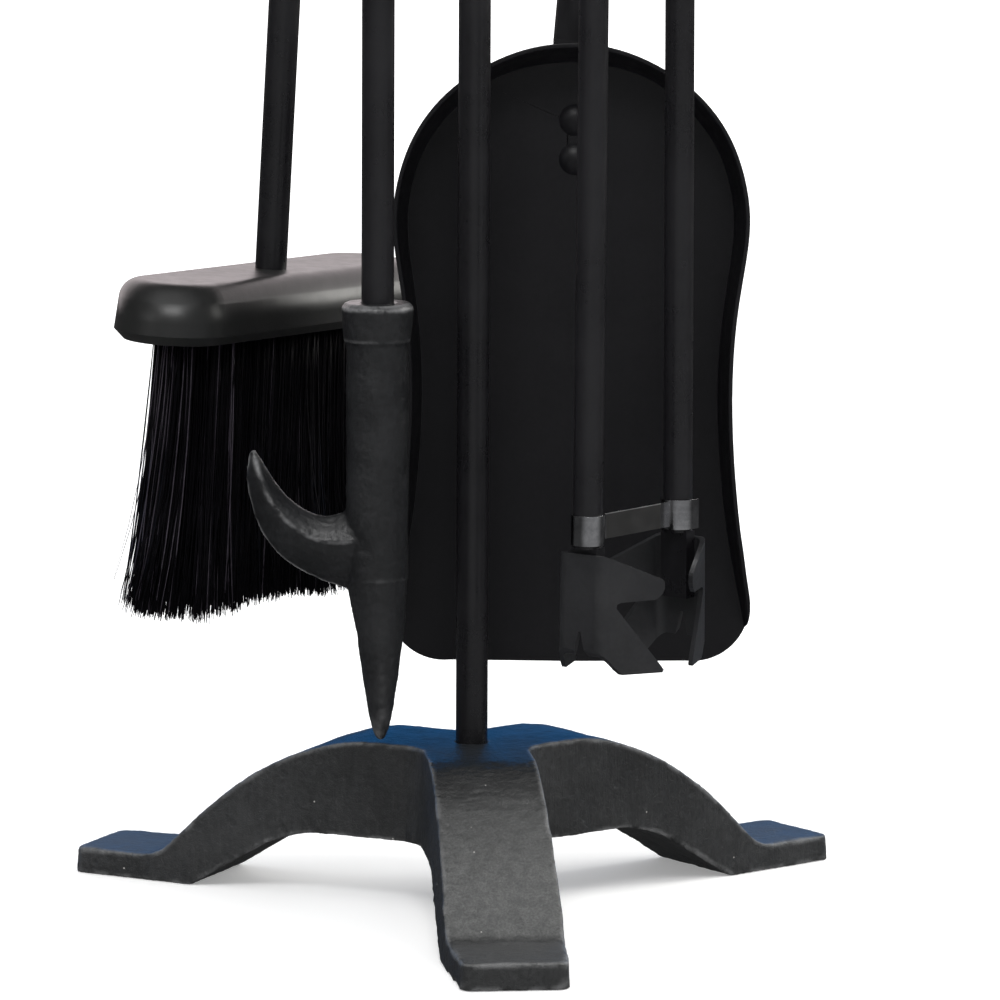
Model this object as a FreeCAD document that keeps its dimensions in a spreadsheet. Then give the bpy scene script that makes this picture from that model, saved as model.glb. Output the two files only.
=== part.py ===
import FreeCAD, Part
import Sketcher
import math
import os
import sys

# Fireplace companion set: a cast three-legged stand with a pole and a four-peg
# hanger, carrying a poker, a brush, a shovel and a pair of tongs.
# Millimetres, +Z up.  The front leg points along -Y.  The origin is the middle
# of the set's footprint on the hearth.

os.makedirs("parts", exist_ok=True)
doc = FreeCAD.newDocument("companion_set")
V = FreeCAD.Vector

# ---------------------------------------------------------------- sizes
SIZES = [
    # stand
    ("axis_x", 0.0), ("axis_y", 15.05),
    ("leg_reach", 132.5), ("leg_half_root", 18.7), ("leg_half_tip", 16.3),
    ("leg_taper_start", 94.0), ("casting_height", 50.5), ("casting_draft", 2.4),
    ("pad_thickness", 8.2), ("arch_height", 20.2), ("arch_end", 89.5),
    ("hub_flat", 28.5), ("corner_radius", 13.0), ("tip_radius", 3.6),
    ("pole_diameter", 10.0), ("pole_bore", 7.0), ("pole_bottom", 42.5),
    ("pole_top", 600.0), ("bolt_diameter", 6.0), ("bolt_clearance", 6.6),
    ("insert_length", 24.0),
    # hanger
    ("hub_bottom", 564.0), ("hub_top", 592.0), ("hub_radius", 15.0),
    ("peg_radius", 3.0), ("peg_slope", 30.0), ("peg_datum", 570.0),
    ("peg_root", 7.5), ("peg_end", 82.0),
    ("finial_radius", 18.0), ("finial_centre", 622.0),
    # shared tool sizes
    ("rod_diameter", 10.0), ("eye_radius", 9.5), ("eye_wire", 2.5),
    ("eye_drop", 2.8), ("stud_radius", 2.5), ("handle_top", 14.0),
    ("handle_length", 92.0), ("handle_radius", 11.5), ("rod_seat", 24.0),
    # seats, measured out from the pole axis
    ("poker_seat", 46.4), ("tongs_seat", 63.5), ("shovel_seat", 50.3),
    ("brush_seat", 56.2),
    ("face_turn", -6.07),
    # poker
    ("socket_top", 193.4), ("socket_radius", 11.0), ("socket_step", 181.3),
    ("poker_body_radius", 9.6), ("poker_tip", 57.5), ("poker_hook_reach", 38.6),
    # brush
    ("brush_base_x", -60.2), ("brush_base_y", 42.3), ("brush_top", 195.7),
    ("head_length", 141.9), ("head_width", 38.0), ("head_height", 18.9),
    ("head_turn", 52.1), ("bristle_length", 86.0),
    # shovel
    ("pan_back", -2.0), ("pan_sheet", 1.5), ("pan_depth", 20.0),
    ("pan_lip", 69.9), ("pan_offset", -1.1), ("rivet_radius", 5.0),
    ("rivet_upper", 243.1), ("rivet_lower", 230.7),
    # tongs
    ("arm_diameter", 9.0), ("pivot_half", 19.85), ("pivot_level", 480.0),
    ("arm_splay", 0.43), ("jaw_top", 119.6), ("jaw_half", 8.6), ("jaw_bend", 5.5),
    ("jaw_sheet", 1.5), ("jaw_flare", 25.7), ("clip_bottom", 122.2),
    ("clip_top", 131.4), ("clip_wall", 0.7), ("pin_diameter", 4.0),
]
sheet = doc.addObject("Spreadsheet::Sheet", "Params")
VAL = {}
for row, (name, value) in enumerate(SIZES, start=1):
    sheet.set("A%d" % row, name)
    sheet.set("B%d" % row, repr(float(value)))
    sheet.setAlias("B%d" % row, name)
    VAL[name] = float(value)
doc.recompute()


class Q:
    """A length that knows both its number and its spreadsheet expression."""

    def __init__(self, value, text):
        self.v = float(value)
        self.e = text

    def __add__(self, other):
        other = q(other)
        return Q(self.v + other.v, "(%s + %s)" % (self.e, other.e))

    def __radd__(self, other):
        return q(other) + self

    def __sub__(self, other):
        other = q(other)
        return Q(self.v - other.v, "(%s - %s)" % (self.e, other.e))

    def __rsub__(self, other):
        return q(other) - self

    def __mul__(self, other):
        other = q(other)
        return Q(self.v * other.v, "(%s * %s)" % (self.e, other.e))

    def __rmul__(self, other):
        return q(other) * self

    def __truediv__(self, other):
        other = q(other)
        return Q(self.v / other.v, "(%s / %s)" % (self.e, other.e))

    def __neg__(self):
        return Q(-self.v, "(0 - %s)" % self.e)


def q(x):
    return x if isinstance(x, Q) else Q(x, "%.6f" % float(x))


def S(name):
    return Q(VAL[name], "Params.%s" % name)


def num(x):
    return x.v if isinstance(x, Q) else float(x)


NODES = []


def node(obj, name):
    obj.Label = name
    NODES.append((name, obj))
    return obj


def new_body(name):
    return doc.addObject("PartDesign::Body", name + "_body")


def origin_plane(body, role):
    return [o for o in body.Origin.OriginFeatures if o.Role == role][0]


def new_sketch(body, name, role):
    sk = body.newObject("Sketcher::SketchObject", name)
    sk.AttachmentSupport = [(origin_plane(body, role), "")]
    sk.MapMode = "FlatFace"
    return sk


def chain(sk, items, closed=True):
    """Closed chain of segments.  items: ("L", [points]) or ("S", [points]).
    Points joined by lines get dimensions bound to the sheet."""
    segs = []
    pts_bound = []
    for kind, pts in items:
        if kind == "L":
            for a, b in zip(pts[:-1], pts[1:]):
                idx = sk.addGeometry(Part.LineSegment(
                    V(num(a[0]), num(a[1]), 0), V(num(b[0]), num(b[1]), 0)), False)
                segs.append(idx)
                pts_bound.append((idx, 1, a))
                pts_bound.append((idx, 2, b))
        else:
            bs = Part.BSplineCurve()
            vs = [V(num(p[0]), num(p[1]), 0) for p in pts]
            bs.interpolate(vs)
            idx = sk.addGeometry(bs, False)
            segs.append(idx)
    n = len(segs)
    last = n if closed else n - 1
    for i in range(last):
        sk.addConstraint(Sketcher.Constraint("Coincident", segs[i], 2, segs[(i + 1) % n], 1))
    done = set()
    for idx, pos, p in pts_bound:
        for axis, kind in ((0, "DistanceX"), (1, "DistanceY")):
            if not isinstance(p[axis], Q):
                continue
            key = (round(num(p[0]), 4), round(num(p[1]), 4), axis)
            if key in done or abs(p[axis].v) < 1e-9:
                continue
            done.add(key)
            c = sk.addConstraint(Sketcher.Constraint(kind, -1, 1, idx, pos, p[axis].v))
            sk.renameConstraint(c, "d%d" % c)
            sk.setExpression("Constraints.d%d" % c, p[axis].e)
    return segs


def revolve(name, items, angle=360.0):
    """One turned piece about its own Z axis."""
    b = new_body(name)
    sk = new_sketch(b, name + "_profile", "XZ_Plane")
    chain(sk, items)
    r = b.newObject("PartDesign::Revolution", name + "_turn")
    r.Profile = sk
    r.ReferenceAxis = (sk, ["V_Axis"])
    r.Angle = angle
    return b


def cylinder(name, radius, height, place=None):
    c = doc.addObject("Part::Cylinder", name)
    c.setExpression("Radius", q(radius).e)
    c.setExpression("Height", q(height).e)
    c.Radius = num(radius)
    c.Height = num(height)
    if place is not None:
        c.Placement = place
    return c


def box(name, sx, sy, sz, place):
    o = doc.addObject("Part::Box", name)
    for prop, val in (("Length", sx), ("Width", sy), ("Height", sz)):
        setattr(o, prop, num(val))
        o.setExpression(prop, q(val).e)
    o.Placement = place
    return o


def cut(name, base, tool):
    o = doc.addObject("Part::Cut", name)
    o.Base = base
    o.Tool = tool
    return o


def fuse(name, shapes):
    o = doc.addObject("Part::MultiFuse", name)
    o.Shapes = shapes
    o.Refine = True
    return o


def raw(name, shape, place):
    o = doc.addObject("Part::Feature", name)
    o.Shape = shape
    o.Placement = place
    return o


def P(x=0.0, y=0.0, z=0.0, turn=0.0):
    return FreeCAD.Placement(V(x, y, z), FreeCAD.Rotation(V(0, 0, 1), turn))


AX, AY = VAL["axis_x"], VAL["axis_y"]
STAND = P(AX, AY, 0)
TAN = math.tan(math.radians(VAL["peg_slope"]))


def seat(radius, azimuth):
    """Centre of a tool's eye on its peg."""
    a = math.radians(azimuth)
    return V(AX + radius * math.cos(a), AY + radius * math.sin(a),
             VAL["peg_datum"] + radius * TAN - VAL["eye_drop"])


# ================================================================ stand
# Base casting: three-legged star with draft, arched legs and flat foot pads.
base = new_body("base_casting")
star = new_sketch(base, "base_plan", "XY_Plane")
reach, hroot, htip, s0 = (VAL[k] for k in
                          ("leg_reach", "leg_half_root", "leg_half_tip", "leg_taper_start"))
star_pts = []
for k, ang in enumerate((-90.0, 30.0, 150.0)):
    a = math.radians(ang)
    d = (math.cos(a), math.sin(a))
    e = (-math.sin(a), math.cos(a))
    crotch = hroot / math.tan(math.radians(60.0))
    for s, lat in ((crotch, -hroot), (s0, -hroot), (reach, -htip), (reach, htip), (s0, hroot)):
        x = d[0] * s + e[0] * lat
        y = d[1] * s + e[1] * lat
        kx = {crotch: None, s0: "leg_taper_start", reach: "leg_reach"}[s]
        hk = "leg_half_tip" if s == reach else "leg_half_root"
        sgn = 1.0 if lat > 0 else -1.0
        if kx is None:
            qx = Q(x, "(Params.%s * %.9f)" % (hk, x / hroot))
            qy = Q(y, "(Params.%s * %.9f)" % (hk, y / hroot))
        else:
            qx = Q(x, "(Params.%s * %.9f + Params.%s * %.9f)" % (kx, d[0], hk, e[0] * sgn))
            qy = Q(y, "(Params.%s * %.9f + Params.%s * %.9f)" % (kx, d[1], hk, e[1] * sgn))
        star_pts.append((qx, qy))
chain(star, [("L", star_pts + [star_pts[0]])])
blank = base.newObject("PartDesign::Pad", "base_blank")
blank.Profile = star
blank.Length = VAL["casting_height"]
blank.setExpression("Length", "Params.casting_height")
blank.TaperAngle = -VAL["casting_draft"]
blank.setExpression("TaperAngle", "-1 * Params.casting_draft")
doc.recompute()


def upright_edges(shape, test):
    out = []
    for i, ed in enumerate(shape.Edges, start=1):
        a, b = ed.Vertexes[0].Point, ed.Vertexes[-1].Point
        if abs(a.z - b.z) < 20:
            continue
        lo = a if a.z < b.z else b
        if test(math.hypot(lo.x, lo.y)):
            out.append("Edge%d" % i)
    return out


r1 = base.newObject("PartDesign::Fillet", "base_crotch_round")
r1.Base = (blank, upright_edges(blank.Shape, lambda r: r < 40))
r1.Radius = VAL["corner_radius"]
r1.setExpression("Radius", "Params.corner_radius")
doc.recompute()
r2 = base.newObject("PartDesign::Fillet", "base_tip_round")
r2.Base = (r1, upright_edges(r1.Shape, lambda r: r > 120))
r2.Radius = VAL["tip_radius"]
r2.setExpression("Radius", "Params.tip_radius")
doc.recompute()

# Above the arched back of the front leg (drawn in the leg's own mid plane).
pad_t, H, flat = S("pad_thickness"), S("casting_height"), S("hub_flat")
back = new_sketch(base, "leg_back", "YZ_Plane")
back_curve = [(-flat.v, H.v), (-36.0, 50.0), (-42.9, 48.5), (-52.7, 45.2), (-62.5, 40.6),
              (-72.4, 34.5), (-80.3, 28.6), (-90.3, 19.5), (-95.8, 14.2), (-99.6, 10.9),
              (-103.6, 8.9), (-108.5, pad_t.v)]
chain(back, [("S", back_curve),
             ("L", [(q(-108.5), pad_t), (q(-150.0), pad_t), (q(-150.0), q(80.0)),
                    (-flat, q(80.0)), (-flat, H)])])
back_cut = base.newObject("PartDesign::Pocket", "leg_back_cut")
back_cut.Profile = back
back_cut.Type = 0
back_cut.Midplane = True
back_cut.Length = 60.0
# Under the arch.
arch = new_sketch(base, "leg_arch", "YZ_Plane")
ah, ae = S("arch_height"), S("arch_end")
arch_curve = [(-46.0, ah.v), (-54.0, 18.9), (-62.8, 15.9), (-70.0, 11.9), (-78.0, 7.1),
              (-85.0, 2.8), (-ae.v, 0.0)]
chain(arch, [("S", arch_curve),
             ("L", [(-ae, q(0.0)), (-ae, q(-5.0)), (q(2.0), q(-5.0)), (q(2.0), ah), (q(-46.0), ah)])])
arch_cut = base.newObject("PartDesign::Pocket", "leg_arch_cut")
arch_cut.Profile = arch
arch_cut.Type = 0
arch_cut.Midplane = True
arch_cut.Length = 54.0
legs = base.newObject("PartDesign::PolarPattern", "three_legs")
legs.Originals = [back_cut, arch_cut]
legs.Axis = (base.Origin.OriginFeatures[2], [""])
for o in base.Origin.OriginFeatures:
    if o.Role == "Z_Axis":
        legs.Axis = (o, [""])
legs.Angle = 360.0
legs.Occurrences = 3
base.Tip = legs
doc.recompute()
socket = new_sketch(base, "pole_socket", "XZ_Plane")
pr = S("pole_diameter") / 2
bc = S("bolt_clearance") / 2
chain(socket, [("L", [(q(0.0), q(60.0)), (pr, q(60.0)), (pr, S("pole_bottom")),
                      (bc, S("pole_bottom")), (bc, q(8.0)), (q(0.0), q(8.0)), (q(0.0), q(60.0))])])
socket_cut = base.newObject("PartDesign::Groove", "pole_socket_cut")
socket_cut.Profile = socket
socket_cut.ReferenceAxis = (socket, ["V_Axis"])
socket_cut.Angle = 360.0
base.Tip = socket_cut
base.Placement = STAND
node(base, "base_casting")
doc.recompute()

# Pole: steel tube standing in the casting's socket.
outer = cylinder("pole_outer", S("pole_diameter") / 2, S("pole_top") - S("pole_bottom"))
inner = cylinder("pole_inner", S("pole_bore") / 2, S("pole_top") - S("pole_bottom"))
pole = cut("stand_pole", outer, inner)
pole.Placement = P(AX, AY, VAL["pole_bottom"])
node(pole, "stand_pole")

# Threaded bush pressed in the foot of the pole.
bush = revolve("pole_foot_insert", [("L", [
    (S("bolt_diameter") / 2, q(0.0)), (S("pole_bore") / 2, q(0.0)),
    (S("pole_bore") / 2, S("insert_length")), (S("bolt_diameter") / 2, S("insert_length")),
    (S("bolt_diameter") / 2, q(0.0))])])
bush.Placement = P(AX, AY, VAL["pole_bottom"])
node(bush, "pole_foot_insert")

# Bolt and washer that draw the pole down into the casting.
washer = revolve("base_washer", [("L", [
    (S("bolt_clearance") / 2, q(0.0)), (q(9.0), q(0.0)), (q(9.0), q(1.6)),
    (S("bolt_clearance") / 2, q(1.6)), (S("bolt_clearance") / 2, q(0.0))])])
washer.Placement = P(AX, AY, VAL["arch_height"] - 1.6)
node(washer, "base_washer")

bolt = new_body("base_bolt")
hexa = new_sketch(bolt, "bolt_head", "XY_Plane")
hp = []
for i in range(7):
    a = math.radians(60 * (i % 6))
    hp.append((q(5.77 * math.cos(a)), q(5.77 * math.sin(a))))
chain(hexa, [("L", hp)])
headpad = bolt.newObject("PartDesign::Pad", "bolt_head_pad")
headpad.Profile = hexa
headpad.Length = 4.0
shank = new_sketch(bolt, "bolt_shank", "XY_Plane")
ci = shank.addGeometry(Part.Circle(V(0, 0, 0), V(0, 0, 1), VAL["bolt_diameter"] / 2), False)
shank.addConstraint(Sketcher.Constraint("Coincident", ci, 3, -1, 1))
cc = shank.addConstraint(Sketcher.Constraint("Radius", ci, VAL["bolt_diameter"] / 2))
shank.renameConstraint(cc, "shank_radius")
shank.setExpression("Constraints.shank_radius", "Params.bolt_diameter / 2")
shankpad = bolt.newObject("PartDesign::Pad", "bolt_shank_pad")
shankpad.Profile = shank
shankpad.Length = 46.0
bolt.Placement = P(AX, AY, VAL["arch_height"] - 1.6 - 4.0)
node(bolt, "base_bolt")

# Hanger pegs: four straight pegs, sloping up and out, pressed in the hanger.
AZ = {"poker": -135.0, "tongs": -45.0, "shovel": 45.0, "brush": 135.0}
slope = math.radians(VAL["peg_slope"])
peg_len = (VAL["peg_end"] - VAL["peg_root"]) / math.cos(slope)


def peg_direction(az):
    a = math.radians(az)
    return V(math.cos(slope) * math.cos(a), math.cos(slope) * math.sin(a), math.sin(slope))


pegs = []
for name in ("poker", "tongs", "shovel", "brush"):
    a = math.radians(AZ[name])
    start = V(AX + VAL["peg_root"] * math.cos(a), AY + VAL["peg_root"] * math.sin(a),
              VAL["peg_datum"] + VAL["peg_root"] * TAN)
    pl = FreeCAD.Placement(start, FreeCAD.Rotation(V(0, 0, 1), peg_direction(AZ[name])))
    c = cylinder("peg_%s_rod" % name, S("peg_radius"),
                 Q(peg_len, "((Params.peg_end - Params.peg_root) / cos(Params.peg_slope * 1deg))"), pl)
    doc.recompute()
    f = doc.addObject("Part::Fillet", "peg_%s" % name)
    f.Base = c
    far = start + peg_direction(AZ[name]) * peg_len
    edge = 0
    for i, ed in enumerate(c.Shape.Edges, start=1):
        if ed.Closed and (ed.BoundBox.Center - far).Length < 1.0:
            edge = i
    f.Edges = [(edge, 2.2, 2.2)]
    pegs.append(f)
pegset = doc.addObject("Part::Compound", "hanger_pegs")
pegset.Links = pegs
node(pegset, "hanger_pegs")
doc.recompute()

# Hanger hub: turned collar on the pole, bored for the pole and the four pegs.
hb, ht, hr = S("hub_bottom"), S("hub_top"), S("hub_radius")
hub = revolve("hanger_hub", [("L", [
    (pr, hb), (q(8.0), hb), (q(9.5), hb + 2), (hr - 1.5, hb + 5), (hr, hb + 7),
    (hr, ht - 5), (hr - 2, ht - 3), (q(10.0), ht), (pr, ht), (pr, hb)])])
hub.Placement = STAND
hanger = cut("hanger_casting", hub, pegset)
node(hanger, "hanger_casting")

# Finial on top of the pole.
fr, fc = VAL["finial_radius"], VAL["finial_centre"]
ball = []
for t in range(-62, 91, 8):
    a = math.radians(t)
    ball.append((fr * math.cos(a), fc + fr * math.sin(a)))
ball[-1] = (0.0, fc + fr)
neck_z = fc + fr * math.sin(math.radians(-62))
neck_r = fr * math.cos(math.radians(-62))
finial = revolve("stand_finial", [
    ("L", [(q(0.0), S("pole_top")), (pr, S("pole_top")), (pr, ht), (q(10.0), ht),
           (q(10.6), ht + 1.5), (q(10.6), ht + 5), (q(9.0), ht + 7), (q(7.5), ht + 9),
           (q(neck_r), q(neck_z))]),
    ("S", ball),
    ("L", [(q(0.0), S("finial_centre") + S("finial_radius")), (q(0.0), S("pole_top"))])])
finial.Placement = STAND
node(finial, "stand_finial")


# ================================================================ shared tool tops
def tool_eye(name, place, turn):
    """Ring with a threaded stud; the ring's centre is the local origin and its
    axis is local Y before the turn."""
    ring = doc.addObject("Part::Torus", name + "_ring")
    ring.Radius1 = VAL["eye_radius"]
    ring.Radius2 = VAL["eye_wire"]
    ring.setExpression("Radius1", "Params.eye_radius")
    ring.setExpression("Radius2", "Params.eye_wire")
    ring.Placement = FreeCAD.Placement(V(0, 0, 0), FreeCAD.Rotation(V(1, 0, 0), 90))
    stud = cylinder(name + "_stud", S("stud_radius"), q(20.0), P(0, 0, -30.0))
    o = fuse(name, [ring, stud])
    o.Placement = place.multiply(P(0, 0, 0, turn))
    return node(o, name)


def tool_handle(name, place):
    """Turned grip; local origin is the eye's centre, the grip hangs below it."""
    top = -S("handle_top")
    bot = top - S("handle_length")
    sr, rr, hr_ = S("stud_radius"), S("rod_diameter") / 2, VAL["handle_radius"]
    z0 = top.v
    barrel = [(6.2, z0 - 10.5), (8.3, z0 - 15.0), (10.4, z0 - 22.0), (hr_, z0 - 33.0),
              (hr_ - 0.2, z0 - 45.0), (hr_ - 1.1, z0 - 57.0), (8.7, z0 - 69.0), (7.2, z0 - 77.5)]
    b = revolve(name, [
        ("L", [(sr, top), (q(5.2), top), (q(6.8), top - 1.6), (q(6.8), top - 5.2),
               (q(5.4), top - 7.4), (q(6.2), top - 10.5)]),
        ("S", barrel),
        ("L", [(q(7.2), top - 77.5), (q(7.0), top - 80.0), (q(8.6), top - 82.0),
               (q(8.6), top - 87.5), (q(7.2), top - 89.5), (q(6.8), bot), (rr, bot),
               (rr, bot + S("rod_seat")), (q(0.0), bot + S("rod_seat")),
               (q(0.0), top - 16.0), (sr, top - 16.0), (sr, top)])])
    b.Placement = place
    return node(b, name)


ROD_TOP = VAL["handle_top"] + VAL["handle_length"] - VAL["rod_seat"]   # below the eye
GRIP_END = VAL["handle_top"] + VAL["handle_length"]

# ================================================================ poker
pk = seat(VAL["poker_seat"], AZ["poker"])
pk_top = FreeCAD.Placement(pk, FreeCAD.Rotation())
tool_eye("poker_eye", pk_top, AZ["poker"] - 90.0)
tool_handle("poker_handle", pk_top)
seat_z = VAL["socket_top"] - 18.0
prod = cylinder("poker_rod", S("rod_diameter") / 2, q(pk.z - ROD_TOP - seat_z),
                P(pk.x, pk.y, seat_z))
node(prod, "poker_rod")


def disc(cx, z, r, ry=None):
    if ry is None or abs(ry - r) < 1e-6:
        return Part.Wire([Part.Circle(V(cx, 0, z), V(0, 0, 1), r).toShape()])
    el = Part.Ellipse(V(0, 0, 0), max(r, ry), min(r, ry))
    e = el.toShape()
    if ry > r:
        e.rotate(V(0, 0, 0), V(0, 0, 1), 90)
    e.translate(V(cx, 0, z))
    return Part.Wire([e])


def poker_head_shape():
    st, ss = VAL["socket_top"], VAL["socket_step"]
    sr, br = VAL["socket_radius"], VAL["poker_body_radius"]
    prof = [V(0, 0, st), V(sr - 1.2, 0, st), V(sr, 0, st - 1.4), V(sr - 0.7, 0, ss + 0.6),
            V(sr - 1.4, 0, ss - 0.6), V(br, 0, ss - 8), V(br, 0, 108.0), V(0, 0, 108.0)]
    wire = Part.makePolygon(prof + [prof[0]])
    body = Part.Face(wire).revolve(V(0, 0, 0), V(0, 0, 1), 360)
    taper = [(-0.1, 118.0, br), (-0.1, 113.0, br), (-0.1, 108.0, br - 0.15), (0.0, 104.0, 9.0),
             (0.3, 100.0, 8.45), (0.6, 95.8, 7.95), (0.9, 91.5, 7.4), (1.0, 86.0, 6.65),
             (1.1, 80.0, 5.8), (1.1, 73.0, 4.85), (1.1, 67.0, 3.9), (1.1, 62.5, 2.95),
             (1.1, 59.6, 2.1), (1.1, 58.0, 1.3), (1.1, VAL["poker_tip"], 0.5)]
    spike = Part.makeLoft([disc(x, z, r) for x, z, r in taper], True, False)
    # horn-shaped hook: ridged sections along a curve, point upward; the ridge
    # on each flank lies nearer the inside of the bend
    ridge = -0.30
    k = VAL["poker_hook_reach"] / 38.6
    rows = [(2.0, 115.0, 12.6, 7.6, (0.05, -1.0)), (-8.0, 116.4, 12.9, 7.4, (0.08, -1.0)),
            (-13.0, 116.6, 11.0, 7.0, (0.05, -1.0)), (-18.0, 117.7, 10.0, 6.7, (0.0, -1.0)),
            (-25.5, 121.6, 8.75, 6.1, (-0.26, -0.97)), (-31.8, 128.1, 6.9, 5.2, (-0.55, -0.84)),
            (-35.6, 135.4, 5.1, 4.1, (-0.68, -0.73)), (-37.6, 142.4, 3.0, 2.7, (-0.80, -0.60)),
            (-38.4, 147.6, 1.0, 1.0, (-0.9, -0.43))]
    wires = []
    for x, z, ha, hb_, (dx, dz) in rows:
        n = math.hypot(dx, dz)
        maj = V(dx / n, 0, dz / n)
        side_ = []
        for i in range(1, 10):
            u = -math.cos(math.pi * i / 10.0)
            v = (u - ridge) / (1.0 - ridge) if u > ridge else (ridge - u) / (1.0 + ridge)
            side_.append((u, (1.0 - v ** 1.35) ** 0.72))
        ring = [V(x * k, 0, z) - maj * ha]
        ring += [V(x * k, 0, z) + maj * (ha * u) + V(0, hb_ * w, 0) for u, w in side_]
        ring += [V(x * k, 0, z) + maj * ha]
        ring += [V(x * k, 0, z) + maj * (ha * u) + V(0, -hb_ * w, 0) for u, w in reversed(side_)]
        wires.append(Part.makePolygon(ring + [ring[0]]))
    hook = Part.makeLoft(wires, True, False)
    whole = body.fuse([spike, hook])
    bore = Part.makeCylinder(VAL["rod_diameter"] / 2, 30.0, V(0, 0, st - 18.0))
    return whole.cut(bore)


phead = raw("poker_head", poker_head_shape(), P(pk.x, pk.y, 0, VAL["face_turn"]))
node(phead, "poker_head")

# ================================================================ brush
bt = seat(VAL["brush_seat"], AZ["brush"])
bb = V(AX + VAL["brush_base_x"], AY + VAL["brush_base_y"], VAL["brush_top"])
b_dir = bt.sub(bb)
b_len = b_dir.Length
lean = FreeCAD.Rotation(V(0, 0, 1), b_dir)
br_base = FreeCAD.Placement(bb, lean.multiply(FreeCAD.Rotation(V(0, 0, 1), VAL["head_turn"])))
br_top = FreeCAD.Placement(bt, lean)
tool_eye("brush_eye", br_top, AZ["brush"] - 90.0)
tool_handle("brush_handle", br_top)
brod = cylinder("brush_rod", S("rod_diameter") / 2, q(b_len - ROD_TOP + 14.0), None)
brod.Placement = FreeCAD.Placement(bb, lean).multiply(P(0, 0, -14.0))
node(brod, "brush_rod")


def obround(length, width, z):
    r = width / 2.0
    a = length / 2.0 - r
    e1 = Part.LineSegment(V(-a, -r, z), V(a, -r, z)).toShape()
    e2 = Part.Arc(V(a, -r, z), V(a + r, 0, z), V(a, r, z)).toShape()
    e3 = Part.LineSegment(V(a, r, z), V(-a, r, z)).toShape()
    e4 = Part.Arc(V(-a, r, z), V(-a - r, 0, z), V(-a, -r, z)).toShape()
    return Part.Wire([e1, e2, e3, e4])


def slot_sketch(body, name, length, width):
    """Round-ended plan outline, centred, bound to the sheet."""
    sk = new_sketch(body, name, "XY_Plane")
    r = width.v / 2.0
    a = length.v / 2.0 - r
    g1 = sk.addGeometry(Part.LineSegment(V(-a, -r, 0), V(a, -r, 0)), False)
    g2 = sk.addGeometry(Part.ArcOfCircle(Part.Circle(V(a, 0, 0), V(0, 0, 1), r),
                                         -math.pi / 2, math.pi / 2), False)
    g3 = sk.addGeometry(Part.LineSegment(V(a, r, 0), V(-a, r, 0)), False)
    g4 = sk.addGeometry(Part.ArcOfCircle(Part.Circle(V(-a, 0, 0), V(0, 0, 1), r),
                                         math.pi / 2, 3 * math.pi / 2), False)
    C = Sketcher.Constraint
    sk.addConstraint(C("Tangent", g1, 2, g2, 1))
    sk.addConstraint(C("Tangent", g2, 2, g3, 1))
    sk.addConstraint(C("Tangent", g3, 2, g4, 1))
    sk.addConstraint(C("Tangent", g4, 2, g1, 1))
    sk.addConstraint(C("Horizontal", g1))
    c1 = sk.addConstraint(C("DistanceX", -1, 1, g2, 3, a))
    sk.renameConstraint(c1, "half_run")
    sk.setExpression("Constraints.half_run", ((length - width) / 2).e)
    sk.addConstraint(C("DistanceX", g4, 3, -1, 1, a))
    c2 = sk.addConstraint(C("Radius", g2, r))
    sk.renameConstraint(c2, "end_radius")
    sk.setExpression("Constraints.end_radius", (width / 2).e)
    sk.addConstraint(C("PointOnObject", g2, 3, -1))
    return sk


# Moulded head: drafted round-ended block with a rounded top edge, a small bead
# round its foot and a blind hole for the rod.
bh = new_body("brush_head")
hl, hw, hh = S("head_length"), S("head_width"), S("head_height")
sk_h = slot_sketch(bh, "head_plan", hl, hw)
pad_h = bh.newObject("PartDesign::Pad", "head_block")
pad_h.Profile = sk_h
pad_h.Length = VAL["head_height"] - 3.0
pad_h.setExpression("Length", "Params.head_height - 3")
pad_h.TaperAngle = -6.0
doc.recompute()
top_edges = []
zt = max(v.Point.z for v in pad_h.Shape.Vertexes)
for i, ed in enumerate(pad_h.Shape.Edges, start=1):
    if all(abs(v.Point.z - zt) < 0.01 for v in ed.Vertexes):
        top_edges.append("Edge%d" % i)
rnd_h = bh.newObject("PartDesign::Fillet", "head_top_round")
rnd_h.Base = (pad_h, top_edges)
rnd_h.Radius = 6.5
doc.recompute()
sk_f = slot_sketch(bh, "head_foot_plan", hl, hw)
pad_f = bh.newObject("PartDesign::Pad", "head_foot")
pad_f.Profile = sk_f
pad_f.Length = 3.0
pad_f.Reversed = True
pad_f.TaperAngle = -45.0
doc.recompute()
hole = new_sketch(bh, "head_hole", "XZ_Plane")
chain(hole, [("L", [(q(0.0), q(40.0)), (S("rod_diameter") / 2, q(40.0)),
                    (S("rod_diameter") / 2, S("head_height") - 17.0),
                    (q(0.0), S("head_height") - 17.0), (q(0.0), q(40.0))])])
hole_cut = bh.newObject("PartDesign::Groove", "head_hole_cut")
hole_cut.Profile = hole
hole_cut.ReferenceAxis = (hole, ["V_Axis"])
hole_cut.Angle = 360.0
bh.Tip = hole_cut
bh.Placement = br_base.multiply(P(0, 0, -(VAL["head_height"] - 3.0)))
node(bh, "brush_head")

# Bristles: one closed block, spreading towards the tips.
fill_top = -VAL["head_height"]
bl = VAL["bristle_length"]
bristle = Part.makeLoft([obround(VAL["head_length"] - 28.0, VAL["head_width"] - 13.0, fill_top),
                         obround(VAL["head_length"] - 27.0, VAL["head_width"] - 12.0, fill_top - bl * 0.35),
                         obround(VAL["head_length"] - 16.0, VAL["head_width"] - 7.0, fill_top - bl * 0.8),
                         obround(VAL["head_length"] - 7.0, VAL["head_width"] - 3.0, fill_top - bl)],
                        True, True)
br = raw("brush_bristles", bristle, br_base)
node(br, "brush_bristles")

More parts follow.
